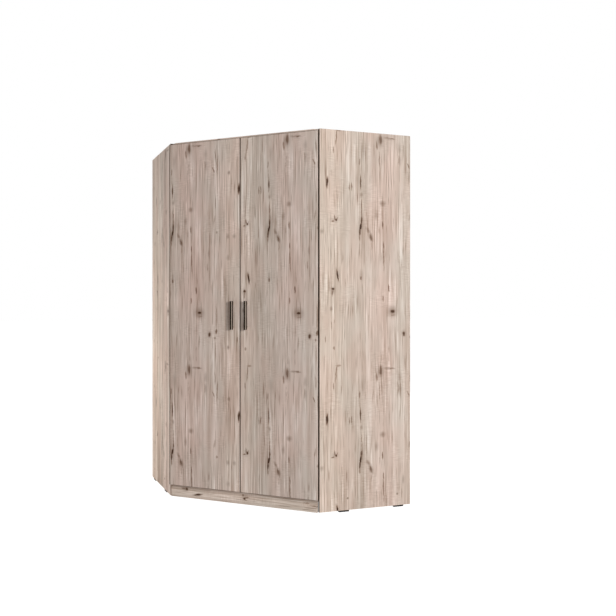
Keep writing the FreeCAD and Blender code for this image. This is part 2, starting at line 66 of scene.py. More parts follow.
# %% Camera
camera_data = bpy.data.cameras.new("camera")
camera_data.sensor_width = 36.0
camera_data.lens = 46.009
camera_data.shift_x = 0.0434
camera = bpy.data.objects.new("camera", camera_data)
camera.location = (-1.5287, -4.3202, 1.0637)
camera.rotation_euler = (math.radians(90), 0, math.radians(-20.228))
scene.collection.objects.link(camera)
scene.camera = camera
print("camera", tuple(camera.location), "lens", camera_data.lens)

# %% [markdown]
# Node trees get long when each node takes three lines. A small helper keeps them readable: it adds a
# node, sets plain values on its sockets, and links a socket wherever one is given in place of a value.


# %% A helper for node trees
class Sketch:
    def __init__(self, tree):
        self.tree = tree

    def join(self, value, socket):
        if isinstance(value, bpy.types.NodeSocket):
            self.tree.links.new(value, socket)
        else:
            socket.default_value = value

    def add(self, kind, inputs=None, **settings):
        node = self.tree.nodes.new(kind)
        for name, value in settings.items():
            setattr(node, name, value)
        for key, value in (inputs or {}).items():
            self.join(value, node.inputs[key])
        return node

    def math(self, operation, *values):
        node = self.add("ShaderNodeMath", operation=operation)
        for socket, value in zip(node.inputs, values):
            self.join(value, socket)
        return node.outputs[0]

    def times(self, vector, factors):
        inputs = {0: vector, 1: factors}
        return self.add("ShaderNodeVectorMath", inputs, operation="MULTIPLY").outputs[0]

    def turned(self, vector, degrees):
        """The vector turned about Z."""
        inputs = {"Vector": vector, "Rotation": (0, 0, math.radians(degrees))}
        return self.add("ShaderNodeMapping", inputs).outputs[0]

    def noise(self, vector, factors, detail=2.0):
        inputs = {"Vector": self.times(vector, factors), "Scale": 1.0, "Detail": detail}
        return self.add("ShaderNodeTexNoise", inputs).outputs["Fac"]

    def swing(self, value, size):
        """Turns 0..1 into a factor that swings by size around 1."""
        return self.math("MULTIPLY_ADD", self.math("SUBTRACT", value, 0.5), 2 * size, 1.0)

    def ranged(self, value, low, high, to_low=0.0, to_high=1.0, shape="SMOOTHSTEP"):
        inputs = {"Value": value, "From Min": low, "From Max": high, "To Min": to_low, "To Max": to_high}
        node = self.add("ShaderNodeMapRange", inputs, interpolation_type=shape, clamp=False)
        return node.outputs["Result"]

    def mix(self, factor, first, second, blend="MIX"):
        inputs = {0: factor, 6: first, 7: second}
        return self.add("ShaderNodeMix", inputs, data_type="RGBA", blend_type=blend).outputs[2]

    def ramp(self, value, stops):
        node = self.add("ShaderNodeValToRGB", {"Fac": value})
        bands = node.color_ramp.elements
        while len(bands) < len(stops):
            bands.new(0.5)
        for band, (place, colour) in zip(bands, stops):
            band.position = place
            band.color = (*colour, 1)
        return node.outputs["Color"]

    def bump(self, height, strength, distance):
        inputs = {"Height": height, "Strength": strength, "Distance": distance}
        return self.add("ShaderNodeBump", inputs).outputs["Normal"]


def new_material(name):
    material = bpy.data.materials.new(name)
    material.use_nodes = True
    return material, Sketch(material.node_tree), material.node_tree.nodes["Principled BSDF"]


def dress(node, material):
    """Gives a CAD node one material and leaves its mesh as it is."""
    slots = nodes[node].data.materials
    slots.clear()
    slots.append(material)


print("node helper:", ", ".join(name for name in vars(Sketch) if not name.startswith("_")))

# %% [markdown]
# The studio is plain: a white surround and a pale floor that glows a little. One main light stands far
# off to the right of the camera, so that the side panel turned to it is brighter than the doors, and each
# handle throws a short shadow. A low warm light fills the left side, and two more serve the views from
# behind and from above. The surround shows pure white, but lights the boards only softly.

# %% Soft lights
LOOK_HEIGHT = 1.0


def soft_light(name, azimuth, height, distance, size, power, colour=(1, 1, 1)):
    """A rectangular light aimed at the wardrobe. At azimuth 0 it looks along Y, at 90 along -X."""
    data = bpy.data.lights.new(name, "AREA")
    data.shape = "RECTANGLE"
    data.size, data.size_y = size
    data.energy = power
    data.color = colour
    light = bpy.data.objects.new(name, data)
    turn = math.radians(azimuth)
    light.location = (math.sin(turn) * distance, -math.cos(turn) * distance, height)
    away = light.location - Vector((0, 0, LOOK_HEIGHT))
    light.rotation_euler = away.to_track_quat("Z", "Y").to_euler()
    scene.collection.objects.link(light)


WARM = (1.0, 0.92, 0.84)
soft_light("key_light", azimuth=6.4, height=2.1, distance=9.0, size=(0.7, 2.0), power=425)
soft_light("left_light", azimuth=-125, height=0.64, distance=2.4, size=(0.8, 0.5), power=17.6, colour=WARM)
soft_light("rear_light", azimuth=140, height=3.1, distance=4.5, size=(2.5, 2.5), power=60)
soft_light("top_light", azimuth=135, height=4.5, distance=0.3, size=(0.7, 0.7), power=36)
print("lights:", ", ".join(light.name for light in bpy.data.lights))

# %% White surround
SURROUND_LIGHT = 0.18
world = bpy.data.worlds.new("white_surround")
world.use_nodes = True
scene.world = world
sky = Sketch(world.node_tree)
ray = sky.add("ShaderNodeLightPath")
seen = sky.math("MAXIMUM", ray.outputs["Is Camera Ray"], ray.outputs["Is Glossy Ray"])
surround = world.node_tree.nodes["Background"]
strength = sky.math("MULTIPLY_ADD", seen, 1.0 - SURROUND_LIGHT, SURROUND_LIGHT)
sky.join(strength, surround.inputs["Strength"])
surround.inputs["Color"].default_value = (1, 1, 1, 1)
scene.view_settings.view_transform = "Standard"
print("surround: seen at 1, lights at", SURROUND_LIGHT)

# %% Floor
HALF_FLOOR = 60.0
FLOOR_GLOW = 0.38
FLOOR_SEEN = 0.96
floor_mesh = bpy.data.meshes.new("floor")
sides = ((-1, -1), (1, -1), (1, 1), (-1, 1))
floor_mesh.from_pydata([(x * HALF_FLOOR, y * HALF_FLOOR, 0) for x, y in sides], [], [(0, 1, 2, 3)])
floor = bpy.data.objects.new("floor", floor_mesh)
scene.collection.objects.link(floor)
floor_finish, k, shader = new_material("pale_floor")
shader.inputs["Base Color"].default_value = (0.45, 0.45, 0.45, 1)
shader.inputs["Roughness"].default_value = 0.9
shader.inputs["Specular IOR Level"].default_value = 0.0
shader.inputs["Emission Color"].default_value = (1, 1, 1, 1)
in_view = k.add("ShaderNodeLightPath").outputs["Is Camera Ray"]
glow = k.math("MULTIPLY_ADD", in_view, FLOOR_SEEN - FLOOR_GLOW, FLOOR_GLOW)
k.join(glow, shader.inputs["Emission Strength"])
floor_mesh.materials.append(floor_finish)
print("floor:", 2 * HALF_FLOOR, "m wide")

# %% [markdown]
# The boards are chipboard under a printed oak film. One printed sheet serves every board: it repeats each
# 1.225 m along the grain, and each board is cut from it at its own place, so the same knots turn up on
# the side panel and on both doors. The print is built once, as a node group on sheet coordinates: s runs
# across the grain and t along it, both in metres. Each crack, knot or smudge is one small mark: a Mapping
# node brings its ellipse to a unit circle and a Gradient Texture fades it out. The marks are listed in
# millimetres.

# %% The oak sheet's marks: s, t, half width, half length, lean in degrees, strength
REPEAT_ALONG, REPEAT_ACROSS = 1.225, 0.585
CRACKS = [
    (39, 32, 4.4, 60, -5, 0.60), (25, 102, 3.4, 24, 2, 0.60), (273, 28, 9, 34, 2, 0.64),
    (252, 62, 6, 28, 4, 0.60), (266, 135, 2.6, 56, 0, 0.60), (278, 135, 2.2, 54, 0, 0.30),
    (161, 154, 4, 24, -2, 0.55), (166, 260, 4.6, 50, 1, 0.90), (163, 205, 2.6, 36, 0, 0.40),
    (-8, 272, 7, 36, -3, 1.0), (107, 285, 3.4, 28, 0, 0.60), (119, 284, 3.6, 28, 0, 0.65),
    (172, 405, 3, 70, 1, 0.65), (171, 462, 5, 28, -3, 0.85), (166, 494, 7.5, 28, -12, 1.0),
    (162, 522, 6, 30, -3, 0.90), (161, 550, 4, 24, 0, 0.60), (197, 440, 2.4, 55, 0, 0.30),
    (31, 450, 3.6, 17, 6, 0.75), (39, 463, 7, 9, 0, 0.95), (21, 471, 10, 5, 4, 0.65),
    (45, 455, 3, 12, -18, 0.50), (283, 480, 4.4, 24, 2, 0.70), (266, 506, 2.6, 28, 0, 0.35),
    (222, 551, 7, 24, 14, 0.42), (225, 590, 4, 28, -3, 0.35), (288, 588, 4.4, 24, 3, 0.70),
    (288, 650, 3.6, 66, 1, 0.65), (290, 705, 3, 28, 0, 0.40), (46, 752, 6, 37, 9, 1.0),
    (22, 822, 10, 9, 0, 0.95), (20, 842, 4.5, 24, -4, 0.60), (168, 763, 6, 12, 0, 0.65),
    (317, 817, 4.4, 25, 2, 0.80), (286, 872, 5, 20, 0, 0.60), (338, 939, 15, 10, 0, 0.90),
    (342, 960, 16, 5, 8, 0.30), (399, 1058, 8.5, 15, 0, 0.85), (15, 1012, 2.8, 30, 4, 0.40),
    (30, 992, 3, 14, -8, 0.30), (-17, 1083, 3.8, 21, 0, 0.60), (28, 1130, 7, 12, 0, 0.50),
    (50, -4, 18, 7, 3, 0.45), (86, 790, 2.8, 26, 0, 0.40), (317, 1142, 3.4, 22, 0, 0.40),
    (318, 1198, 3, 22, 0, 0.35), (277, 1190, 3, 30, 0, 0.35), (434, 70, 4, 42, 0, 0.45),
    (447, 138, 4.8, 75, -3, 0.55), (424, 158, 4.6, 20, 24, 0.60), (371, 127, 3.8, 30, 0, 0.45),
    (445, 500, 7, 10, 0, 0.50), (430, 430, 5, 26, -8, 0.35), (441, 960, 3.8, 95, 0, 0.50),
    (441, 1040, 7.5, 18, -6, 0.80), (434, 1076, 6, 11, 0, 0.55), (436, 1150, 3.2, 60, 0, 0.35),
    (388, 690, 3.2, 34, 0, 0.40), (373, 660, 3, 60, 0, 0.25),
]
SMUDGES = [
    (270, 35, 28, 48, 0, 0.34), (221, 546, 14, 34, 18, 0.50), (206, 512, 11, 26, 30, 0.42),
    (284, 368, 20, 20, 0, 0.40), (180, 95, 18, 60, 0, 0.22), (170, 325, 9, 18, 0, 0.34),
    (520, 180, 14, 15, 0, 0.42), (336, 940, 40, 40, 0, 0.42), (399, 1057, 17, 25, 0, 0.35),
    (13, 925, 10, 17, 0, 0.35), (170, 750, 14, 40, 0, 0.20), (250, 430, 13, 34, 0, 0.28),
    (378, 130, 10, 50, 0, 0.26), (514, 1125, 10, 15, 0, 0.42), (512, 525, 14, 18, 0, 0.28),
    (-35, 525, 14, 18, 0, 0.28), (515, 640, 18, 20, 0, 0.22), (376, 70, 14, 42, 0, 0.24),
    (395, 615, 8, 36, 0, 0.28), (34, 462, 24, 24, 0, 0.22), (168, 490, 18, 80, -4, 0.25),
    (47, 752, 15, 50, 9, 0.20), (-8, 272, 16, 42, 0, 0.18), (22, 830, 20, 32, 0, 0.25),
    (316, 18, 44, 9, -3, 0.36), (333, 19, 24, 6, -3, 0.62),
]
PALE_LINES = [
    (178, 375, 5, 60, 0, 0.6), (57, 772, 4, 11, 0, 0.6), (-20, 275, 5, 40, 0, 0.4),
    (363, 125, 3, 30, 0, 0.4),
]
print(len(CRACKS), "cracks and knots,", len(SMUDGES), "smudges,", len(PALE_LINES), "pale lines")

# %% Marks and shading
MM_PER_M = 1000
RED_FALL, BLUE_FALL = 0.82, 1.14


def marks_of(k, place, marks, core, spread):
    """The strongest mark at each place: full within its core, then fading to its edge."""
    strongest = 0.0
    for s, t, half_width, half_length, lean, strength in marks:
        centre = (s / MM_PER_M, t / MM_PER_M, 0)
        size = (half_width * spread / MM_PER_M, half_length * spread / MM_PER_M, 1)
        turn = (0, 0, -math.radians(lean))
        inputs = {"Vector": place, "Location": centre, "Rotation": turn, "Scale": size}
        flat = k.add("ShaderNodeMapping", inputs, vector_type="TEXTURE").outputs[0]
        spot = k.add("ShaderNodeTexGradient", {"Vector": flat}, gradient_type="SPHERICAL").outputs["Fac"]
        strongest = k.math("MAXIMUM", k.ranged(spot, 0.0, 1.0 - core, 0.0, strength), strongest)
    return strongest


def shaded(k, colour, light):
    """Oak turns browner as it turns darker: red falls slower than green, and blue faster."""
    red = k.math("POWER", light, RED_FALL)
    blue = k.math("POWER", light, BLUE_FALL)
    warm = k.add("ShaderNodeCombineColor", {0: red, 1: light, 2: blue}).outputs[0]
    return k.mix(1.0, colour, warm, "MULTIPLY")


print("oak shading: red to the power", RED_FALL, "and blue to the power", BLUE_FALL, "of green")

# %% [markdown]
# Real oak is never even. Here the grain wanders a little from the straight, fine streaks and lines come
# and go in patches, and long bands, clouds, pores and short cross rungs lie over them. Each is a noise,
# stretched along the board, or across it for the rungs. Its factors count cycles per metre across the
# grain, along it and in depth.

# %% Grain of the sheet
GRAIN_DRIFT = 0.012
STREAK_DEPTH, LINE_DEPTH = 1.9, 1.1
LONG_BAND_SWING, CLOUD_SWING = 0.30, 0.26
PORE_DEPTH, PORE_LIFT = 0.50, 1.05
RUNG_DEPTH = 0.5


def add_grain(k, place, s, t, depth):
    """How light the grain makes each place, with the lines and pores that also give relief."""
    drift = k.math("SUBTRACT", k.noise(place, (5, 1.0, 5)), 0.5)
    s_grain = k.math("MULTIPLY_ADD", drift, GRAIN_DRIFT, s)
    grain = k.add("ShaderNodeCombineXYZ", {0: s_grain, 1: t, 2: depth}).outputs[0]
    streaks = k.noise(grain, (150, 3.0, 150), 2)
    lines = k.noise(grain, (330, 7, 330), 2)
    clouds = k.noise(grain, (24, 3.0, 24), 3)
    pores = k.ranged(k.noise(grain, (260, 7, 260), 1), 0.62, 0.73)
    long_bands = k.noise(grain, (46, 0.35, 46), 2)
    rungs = k.noise(place, (34, 210, 34), 2)
    rung_zone = k.ranged(k.noise(place, (11, 6, 11), 1), 0.50, 0.64)
    streaky = k.ranged(k.noise(place, (17, 5.0, 17), 2), 0.36, 0.64, 0.10, 1.0)
    fine = k.math("MULTIPLY_ADD", streaks, STREAK_DEPTH, k.math("MULTIPLY", lines, LINE_DEPTH))
    fine = k.math("MULTIPLY", k.math("SUBTRACT", fine, (STREAK_DEPTH + LINE_DEPTH) / 2), streaky)
    light = k.math("MULTIPLY", k.math("ADD", fine, 1.0), k.swing(long_bands, LONG_BAND_SWING))
    light = k.math("MULTIPLY", light, k.swing(clouds, CLOUD_SWING))
    light = k.math("MULTIPLY", light, k.math("MULTIPLY_ADD", pores, -PORE_DEPTH, PORE_LIFT))
    rung = k.math("MULTIPLY", k.math("SUBTRACT", rungs, 0.5), rung_zone)
    light = k.math("MULTIPLY", light, k.math("MULTIPLY_ADD", rung, RUNG_DEPTH, 1.0))
    return light, lines, pores


print("grain drifts by up to", GRAIN_DRIFT / 2 * MM_PER_M, "mm")

# %% Ground colour of the sheet
SHEET_LEFT, SHEET_FOOT = -0.06, -0.02
OAK_BANDS = [
    (0.00, (0.640, 0.520, 0.435)), (0.17, (0.645, 0.525, 0.440)), (0.27, (0.575, 0.470, 0.395)),
    (0.41, (0.570, 0.467, 0.395)), (0.48, (0.590, 0.470, 0.399)), (0.66, (0.610, 0.482, 0.412)),
    (0.75, (0.613, 0.510, 0.437)), (0.88, (0.600, 0.496, 0.422)), (1.00, (0.640, 0.520, 0.435)),
]
GREYER = (0.979, 1.002, 1.005, 1)
PINKER = (1.021, 0.990, 0.986, 1)


def add_ground(k, place, s_sheet):
    """The ground changes colour in bands across the sheet, and in greyer and pinker patches."""
    across = k.ranged(s_sheet, SHEET_LEFT, REPEAT_ACROSS + SHEET_LEFT, shape="LINEAR")
    colour = k.ramp(across, OAK_BANDS)
    pink = k.ranged(k.noise(place, (9, 3.2, 9), 2), 0.36, 0.64)
    return k.mix(1.0, colour, k.mix(pink, GREYER, PINKER), "MULTIPLY")


print("ground:", len(OAK_BANDS), "bands across", REPEAT_ACROSS, "m")

# %% The oak sheet as a node group
RAGGED_ACROSS, RAGGED_ALONG = 0.008, 0.012
SMUDGE_SPREAD, CRACK_SPREAD, PALE_SPREAD = 1.15, 1.12, 1.0
SMUDGE_CORE, CRACK_CORE, PALE_CORE = 0.0, 0.35, 0.2
SMUDGE_GAIN, CRACK_DEPTH = 1.6, 0.93
SMUDGE_BROWN = (0.20, 0.125, 0.080, 1)
PALE_OAK = (0.80, 0.68, 0.58, 1)
ROUGH_SWING, ROUGH_LEAST = 0.14, 0.44
SUNK_RELIEF = 0.7


def make_oak_print():
    group = bpy.data.node_groups.new("oak_print", "ShaderNodeTree")
    group.interface.new_socket("Place", in_out="INPUT", socket_type="NodeSocketVector")
    group.interface.new_socket("Color", in_out="OUTPUT", socket_type="NodeSocketColor")
    group.interface.new_socket("Roughness", in_out="OUTPUT", socket_type="NodeSocketFloat")
    group.interface.new_socket("Height", in_out="OUTPUT", socket_type="NodeSocketFloat")
    k = Sketch(group)
    place = k.add("NodeGroupInput").outputs["Place"]
    s, t, depth = k.add("ShaderNodeSeparateXYZ", {0: place}).outputs
    light, lines, pores = add_grain(k, place, s, t, depth)

    # The sheet repeats along and across
    t_sheet = k.math("WRAP", t, REPEAT_ALONG + SHEET_FOOT, SHEET_FOOT)
    s_sheet = k.math("WRAP", s, REPEAT_ACROSS + SHEET_LEFT, SHEET_LEFT)
    colour = shaded(k, add_ground(k, place, s_sheet), light)

    # Marks with ragged edges
    ragged_s = k.math("SUBTRACT", k.noise(place, (170, 50, 170), 2), 0.5)
    ragged_t = k.math("SUBTRACT", k.noise(place, (60, 120, 60), 2), 0.5)
    s_mark = k.math("MULTIPLY_ADD", ragged_s, RAGGED_ACROSS, s_sheet)
    t_mark = k.math("MULTIPLY_ADD", ragged_t, RAGGED_ALONG, t_sheet)
    on_sheet = k.add("ShaderNodeCombineXYZ", {0: s_mark, 1: t_mark}).outputs[0]
    smudged = k.math("MULTIPLY", marks_of(k, on_sheet, SMUDGES, SMUDGE_CORE, SMUDGE_SPREAD), SMUDGE_GAIN)
    cracked = marks_of(k, on_sheet, CRACKS, CRACK_CORE, CRACK_SPREAD)
    paled = marks_of(k, on_sheet, PALE_LINES, PALE_CORE, PALE_SPREAD)
    colour = k.mix(smudged, colour, SMUDGE_BROWN)
    colour = k.mix(paled, colour, PALE_OAK)
    colour = shaded(k, colour, k.math("MULTIPLY_ADD", cracked, -CRACK_DEPTH, 1.0))

    result = k.add("NodeGroupOutput")
    k.join(colour, result.inputs["Color"])
    k.join(k.math("MULTIPLY_ADD", lines, ROUGH_SWING, ROUGH_LEAST), result.inputs["Roughness"])
    sunk = k.math("MAXIMUM", cracked, pores)
    k.join(k.math("MULTIPLY_ADD", sunk, -SUNK_RELIEF, lines), result.inputs["Height"])
    return group


oak_print = make_oak_print()
print("oak print:", len(oak_print.nodes), "nodes")

# %% [markdown]
# A board takes the print through two Mapping nodes: one turns the board's heading to face us, the next
# tips it so that its grain runs along t, and moves it to its place on the sheet. Edges that the factory
# leaves bare, against the wall and the floor, show the chipboard's flakes. Such edges, and the shade
# painted in dark lines into the gaps around the doors and under them, are zones, given by limits on a
# point's place, where u runs along the doors' front and v into the corner. Each zone lists its limits,
# its paint and how strongly the paint covers.

# %% A board's material
FRONT_HEADING = 45
# Brown of the painted shade in the gaps beside the doors and under them
PAINTED_SHADE_BROWN = (0.056, 0.029, 0.015, 1)
BAND_ALONG = 1.3
OAK_SHINE = 0.16
OAK_BUMP = (0.25, 0.0004)


def add_chipboard(k, place):
    flakes = k.add("ShaderNodeTexVoronoi", {"Vector": k.times(place, (380, 380, 380)), "Scale": 1.0})
    dust = k.noise(place, (900, 900, 900), 3)
    blend = k.math("MULTIPLY_ADD", dust, 0.5, k.math("MULTIPLY", flakes.outputs["Distance"], 0.6))
    return k.ramp(blend, [(0.1, (0.20, 0.12, 0.06)), (0.5, (0.50, 0.35, 0.20)), (0.9, (0.66, 0.50, 0.31))])


def oak_board(name, heading, tip, shift, stretch=1.0, zones=(), bands=None, tint=(1, 1, 1, 1)):
    """The print on one board, with wide bands and zones over it where they are given."""
    material, k, shader = new_material(name)
    place = k.add("ShaderNodeTexCoord").outputs["Object"]
    tipping = {"Vector": k.turned(place, heading), "Location": (*shift, 0), "Scale": (1 / stretch, 1, 1),
               "Rotation": [math.radians(angle) for angle in tip]}
    on_sheet = k.add("ShaderNodeMapping", tipping).outputs[0]
    sheet = k.add("ShaderNodeGroup", node_tree=oak_print)
    k.join(on_sheet, sheet.inputs["Place"])
    colour = k.mix(1.0, sheet.outputs["Color"], tint, "MULTIPLY")
    if bands:
        strength, across = bands
        wide = k.noise(on_sheet, (across, BAND_ALONG, across), 2)
        colour = shaded(k, colour, k.swing(wide, strength))
    along_front = k.turned(place, FRONT_HEADING)
    axes = dict(zip("xyz", k.add("ShaderNodeSeparateXYZ", {0: place}).outputs))
    axes.update(zip("uv", k.add("ShaderNodeSeparateXYZ", {0: along_front}).outputs))
    for limits, paint, strength in zones:
        inside = strength
        for axis, side, limit in limits:
            inside = k.math("MULTIPLY", k.math(side, axes[axis], limit), inside)
        # Zones that are not chipboard are painted shade in this brown
        colour = k.mix(inside, colour, add_chipboard(k, place) if paint == "chipboard" else PAINTED_SHADE_BROWN)
    k.join(colour, shader.inputs["Base Color"])
    k.join(sheet.outputs["Roughness"], shader.inputs["Roughness"])
    k.join(k.bump(sheet.outputs["Height"], *OAK_BUMP), shader.inputs["Normal"])
    shader.inputs["Specular IOR Level"].default_value = OAK_SHINE
    return material


print("the doors' front stands at", FRONT_HEADING, "degrees to the walls")

# %% Zones of the side panels and the plinth
MORE, LESS = "GREATER_THAN", "LESS_THAN"
SKIN = 0.0004
# The doors' shadow on the plinth: how far down each step reaches, and its strength
SHADOWS = [(0.018, 0.18), (0.009, 0.32)]
low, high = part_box("right_side_panel")
wall, front_end = high.x, low.x
plinth_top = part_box("plinth_board")[1].z
under = ([("z", LESS, low.z + SKIN)], "chipboard", 1.0)
# On each panel the dark zone on the front end face is painted shade in the gap beside the doors; the
# chipboard zones are bare edges
right_zones = [under, ([("x", MORE, wall - SKIN)], "chipboard", 1.0),
               ([("x", LESS, front_end + SKIN)], "dark", 0.98)]
left_zones = [under, ([("y", MORE, wall - SKIN)], "chipboard", 1.0),
              ([("y", LESS, front_end + SKIN), ("z", MORE, plinth_top)], "dark", 0.96)]
plinth_zones = [([("z", MORE, plinth_top - tall)], "dark", strength) for tall, strength in SHADOWS]
print("zones:", len(right_zones), "and", len(left_zones), "on panels,", len(plinth_zones), "on the plinth")

# %% Painted shade lines of the doors
# Widths of the painted shade lines on the doors' faces, and how far behind a face the painted shade on its
# edges begins
TOP_LINE, LEFT_LINE, MEETING_LINE = 0.003, 0.0048, 0.0012
MEETING_LIP, HINGE_LIP = 0.0006, 0.008


def points_of(node):
    """A CAD node's points as u, along the doors' front, v, into the room's corner, and z."""
    x, y, z = np.array([vert.co for vert in nodes[node].data.vertices]).T
    return (x - y) / math.sqrt(2), (x + y) / math.sqrt(2), z


door_u, door_v, door_z = points_of("right_door")
face, edge, gap = door_v.min(), door_u.max(), door_u.min()
# All these zones are painted shade: along the doors' tops, on and beside their meeting edges, on the right
# door's outer edge and along the left door's outer edge
top_shade_line = ([("z", MORE, door_z.max() - TOP_LINE), ("v", LESS, face + SKIN)], "dark", 0.68)
right_shade_lines = [top_shade_line, ([("u", LESS, gap + SKIN), ("v", MORE, face + MEETING_LIP)], "dark", 0.9),
               ([("u", LESS, gap + MEETING_LINE), ("v", LESS, face + MEETING_LIP)], "dark", 0.8),
               ([("u", MORE, edge - SKIN), ("v", MORE, face + HINGE_LIP)], "dark", 0.9)]
left_shade_lines = [top_shade_line, ([("u", MORE, -gap - SKIN), ("v", MORE, face + MEETING_LIP)], "dark", 0.9),
              ([("u", MORE, -gap - MEETING_LINE), ("v", LESS, face + MEETING_LIP)], "dark", 0.8),
              ([("u", LESS, LEFT_LINE - edge), ("v", LESS, face + SKIN)], "dark", 1.0)]
print("seams:", len(right_shade_lines), "on each door, which is", round(edge - gap, 3), "m wide")

# %% Oak on the boards
UPRIGHT, LENGTHWAYS, LYING = (90, 0, 0), (90, 0, -90), (0, 0, 90)
PANEL_STRETCH, PANEL_START = 1.103, 0.0512
panel_shift = (-(front_end + PANEL_START) / PANEL_STRETCH, 1.985)
oak_on = {
    "right_side_panel": oak_board("oak_right_side", 0, UPRIGHT, panel_shift, stretch=PANEL_STRETCH,
                                  zones=right_zones, tint=(1.010, 1.0, 0.990, 1)),
    "left_side_panel": oak_board("oak_left_side", 90, UPRIGHT, (0.46, 1.985), zones=left_zones,
                                 bands=(0.70, 17), tint=(1.000, 0.992, 0.990, 1)),
    "right_door": oak_board("oak_right_door", FRONT_HEADING, UPRIGHT, (-0.005, 1.975), zones=right_shade_lines,
                            tint=(1.0, 1.0, 1.012, 1)),
    "left_door": oak_board("oak_left_door", FRONT_HEADING, UPRIGHT, (0.585, 1.976), stretch=1.0215,
                           zones=left_shade_lines, bands=(0.30, 34), tint=(1.010, 0.989, 0.998, 1)),
    "plinth_board": oak_board("oak_plinth", FRONT_HEADING, LENGTHWAYS, (0.077, 0.483), zones=plinth_zones),
    "top_panel": oak_board("oak_top", FRONT_HEADING, LYING, (0.25, 0.6)),
}
for node, material in oak_on.items():
    dress(node, material)
print("oak on", ", ".join(oak_on))

# %% [markdown]
# The other finishes are plainer: a noise that is stretched the way the material was drawn, rolled, sawn
# or moulded gives each its colour change, roughness and slight relief. A table of such finishes is easier
# to read and to tune than a dozen separate trees. Each row has two colours, the noise's cycles per metre
# and the range of roughness.

# %% A plain finish
PATCHES = (7, 7, 7)
PATCH_SHARE, GRAIN_SHARE = 0.4, 0.6
BLEND_LOW, BLEND_HIGH = 0.3, 0.7
RELIEF_STRENGTH = 0.4


def plain_finish(name, colours, factors, rough, metallic=0.0, relief=0.0, heading=0.0, shine=0.5):
    material, k, shader = new_material(name)
    place = k.add("ShaderNodeTexCoord").outputs["Object"]
    turned = k.turned(place, heading)
    grain = k.noise(turned, factors, 3)
    patches = k.noise(turned, PATCHES, 2)
    blend = k.math("MULTIPLY_ADD", patches, PATCH_SHARE, k.math("MULTIPLY", grain, GRAIN_SHARE))
    colour = k.ramp(blend, [(BLEND_LOW, colours[0]), (BLEND_HIGH, colours[1])])
    k.join(colour, shader.inputs["Base Color"])
    k.join(k.ranged(blend, BLEND_LOW, BLEND_HIGH, *rough), shader.inputs["Roughness"])
    shader.inputs["Metallic"].default_value = metallic
    shader.inputs["Specular IOR Level"].default_value = shine
    if relief:
        k.join(k.bump(grain, RELIEF_STRENGTH, relief), shader.inputs["Normal"])
    return material


print("a plain finish is", GRAIN_SHARE, "grain and", PATCH_SHARE, "patches")

# %% The plain finishes
finishes = {
    "inner_decor_board": plain_finish("linen_print", [(0.56, 0.50, 0.43), (0.66, 0.60, 0.53)],
                                      (300, 1100, 900), (0.5, 0.62), relief=0.0002, heading=FRONT_HEADING),
    "softwood": plain_finish("softwood", [(0.50, 0.33, 0.17), (0.72, 0.54, 0.33)],
                             (160, 160, 5), (0.6, 0.75), relief=0.0004),
    "black_plastic": plain_finish("black_plastic", [(0.006, 0.006, 0.006), (0.014, 0.013, 0.012)],
                                  (900, 900, 900), (0.5, 0.65), relief=0.0001, shine=0.15),
    "cap_plastic": plain_finish("cap_plastic", [(0.30, 0.22, 0.16), (0.38, 0.29, 0.22)],
                                (500, 500, 500), (0.4, 0.5), relief=0.0001),
    "strip_plastic": plain_finish("strip_plastic", [(0.58, 0.54, 0.48), (0.68, 0.64, 0.58)],
                                  (600, 600, 12), (0.35, 0.45), relief=0.0001),
    "rail_chrome": plain_finish("rail_chrome", [(0.72, 0.73, 0.75), (0.82, 0.82, 0.83)],
                                (9, 700, 700), (0.08, 0.2), metallic=1.0, heading=FRONT_HEADING),
    "hinge_steel": plain_finish("hinge_nickel", [(0.55, 0.54, 0.52), (0.68, 0.67, 0.65)],
                                (60, 60, 900), (0.22, 0.36), metallic=1.0, relief=0.00005),
    "zinc_steel": plain_finish("zinc_plate", [(0.50, 0.52, 0.55), (0.72, 0.73, 0.74)],
                               (240, 240, 240), (0.28, 0.46), metallic=1.0, relief=0.00005),
    "handle_metal": plain_finish("handle_dark_metal", [(0.014, 0.008, 0.005), (0.026, 0.016, 0.010)],
                                 (1400, 1400, 14), (0.34, 0.46), relief=0.00005, shine=0.02),
    "bumper_rubber": plain_finish("bumper_rubber", [(0.62, 0.62, 0.60), (0.74, 0.74, 0.72)],
                                  (300, 300, 300), (0.25, 0.4)),
}
slot_of = {part["node"]: part["material_slot"] for part in frame["record"]["subparts"]}
for node, slot in slot_of.items():
    if slot in finishes:
        dress(node, finishes[slot])
print(len(finishes), "plain finishes")

# %% [markdown]
# The backs are thin hardboard: a pale printed face to the inside, and the raw brown pressed fibre towards
# the wall, with the faint net of the press. The sheet is only 3 mm thick, so its own middle plane tells
# the two faces apart.

# %% Hardboard backs
RAW_ROUGH, PRINTED_ROUGH = 0.75, 0.55
BROWNS = [(0.3, (0.17, 0.095, 0.05)), (0.5, (0.25, 0.145, 0.08)), (0.7, (0.34, 0.21, 0.125))]
PALES = [(0.3, (0.55, 0.49, 0.42)), (0.7, (0.66, 0.60, 0.53))]


def hardboard(name, axis, middle):
    material, k, shader = new_material(name)
    place = k.add("ShaderNodeTexCoord").outputs["Object"]
    across = k.add("ShaderNodeSeparateXYZ", {0: place}).outputs[axis]
    raw = k.math("GREATER_THAN", across, middle)
    fibres = k.noise(place, (260, 260, 260), 4)
    patches = k.noise(place, (5, 5, 5), 3)
    blend = k.math("MULTIPLY_ADD", patches, 0.5, k.math("MULTIPLY", fibres, 0.5))
    threads = k.noise(place, (700, 700, 60), 2)
    k.join(k.mix(raw, k.ramp(threads, PALES), k.ramp(blend, BROWNS)), shader.inputs["Base Color"])
    rough = k.math("MULTIPLY_ADD", raw, RAW_ROUGH - PRINTED_ROUGH, PRINTED_ROUGH)
    k.join(rough, shader.inputs["Roughness"])
    k.join(k.bump(fibres, 0.5, 0.0005), shader.inputs["Normal"])
    return material


